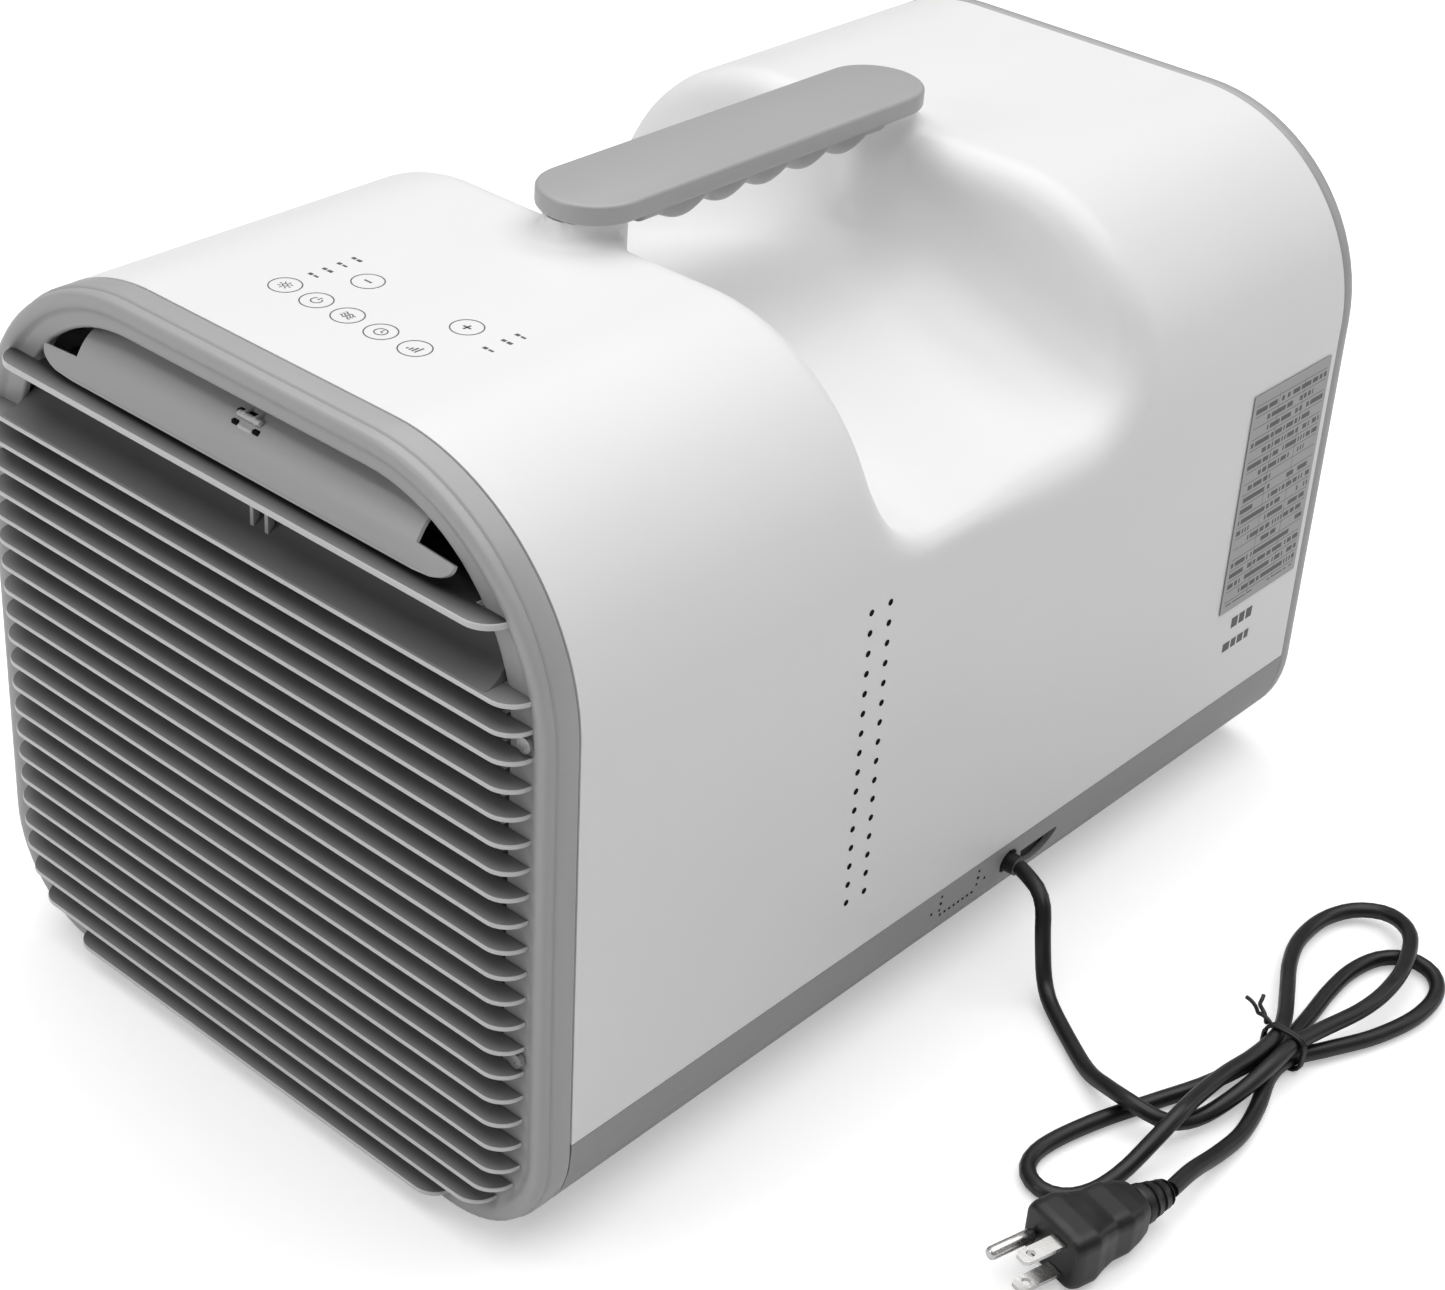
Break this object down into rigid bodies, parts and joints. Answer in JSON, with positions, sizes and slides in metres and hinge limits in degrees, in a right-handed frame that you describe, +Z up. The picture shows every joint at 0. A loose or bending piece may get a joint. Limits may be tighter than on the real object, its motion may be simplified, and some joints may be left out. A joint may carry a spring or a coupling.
{
  "type": "portable air conditioner",
  "caption": "Compact portable air conditioner with a louvred front, swinging outlet vane, touch keys, grooved carry handle over a hand scoop, and a bundled mains cord.",
  "frame": {"origin": "middle of the footprint of the housing and handle, on the floor under the feet", "axes": "+Z up, -Y towards the louvred front, +X towards the side that the cord leaves"},
  "size_m": [0.424, 0.4623, 0.2986],
  "materials": {
    "white_abs": "fine satin-gloss moulded white",
    "grey_abs": "satin mid grey moulding",
    "dark_abs": "matt dark grey moulding",
    "louvre_grey": "satin dark grey blades",
    "black_pvc": "soft black PVC",
    "black_rubber": "matt black rubber",
    "nickel": "nickel-plated brass",
    "zinc_steel": "zinc-plated steel",
    "copper": "drawn copper tube",
    "fin_aluminium": "bare aluminium",
    "black_paint": "semi-gloss black enamel",
    "circuit_board": "green solder mask",
    "silver_label": "silver film plate",
    "filter_mesh": "fine nylon mesh"
  },
  "bodies": {
    "housing": {"shell": "white_abs", "base_tray": "grey_abs", "front_frame": "grey_abs", "louvre_grille": "louvre_grey", "outlet_lip": "grey_abs", "vane_bracket_left": "grey_abs", "vane_bracket_right": "grey_abs", "vane_motor": "zinc_steel", "handle_plate": "grey_abs", "handle_grip": "grey_abs", "rear_ring": "grey_abs", "rear_grille": "grey_abs", "foot_front_left": "black_rubber", "foot_front_right": "black_rubber", "foot_rear_left": "black_rubber", "foot_rear_right": "black_rubber", "rating_plate": "silver_label", "drain_bung": "black_rubber", "cord_grommet": "black_pvc", "power_cord": "black_pvc", "cord_tie": "black_pvc", "plug_body": "black_pvc", "plug_relief": "black_pvc", "plug_blade_upper": "nickel", "plug_blade_lower": "nickel", "plug_ground_pin": "nickel", "grille_screw_upper_left": "zinc_steel", "grille_screw_upper_right": "zinc_steel", "grille_screw_lower_left": "zinc_steel", "grille_screw_lower_right": "zinc_steel", "air_filter": "filter_mesh", "evaporator": "fin_aluminium", "drip_tray": "dark_abs", "blower_casing": "dark_abs", "outlet_duct": "dark_abs", "blower_motor": "zinc_steel", "bulkhead": "dark_abs", "condenser": "fin_aluminium", "fan_shroud": "dark_abs", "fan_motor": "zinc_steel", "fan_motor_bracket": "zinc_steel", "compressor": "black_paint", "accumulator": "black_paint", "compressor_mount_1": "black_rubber", "compressor_mount_2": "black_rubber", "compressor_mount_3": "black_rubber", "suction_pipe": "copper", "discharge_pipe": "copper", "capillary_pipe": "copper", "touch_board": "circuit_board", "main_board": "circuit_board", "run_capacitor": "fin_aluminium"},
    "vane": {"swing_vane": "grey_abs"},
    "blower": {"blower_wheel": "dark_abs", "blower_shaft": "zinc_steel"},
    "fan": {"condenser_fan": "dark_abs", "fan_shaft": "zinc_steel"}
  },
  "joints": [
    {"name": "vane_swing", "type": "hinge", "parent": "housing", "child": "vane", "pos_m": [0, -0.204, 0.265], "axis": [-1, 0, 0], "range_deg": [0, 10]},
    {"name": "blower_spin", "type": "hinge", "parent": "housing", "child": "blower", "pos_m": [0, -0.133, 0.12], "axis": [0, 1, 0], "continuous": true},
    {"name": "fan_spin", "type": "hinge", "parent": "housing", "child": "fan", "pos_m": [0, 0.165, 0.12], "axis": [0, 1, 0], "continuous": true}
  ]
}
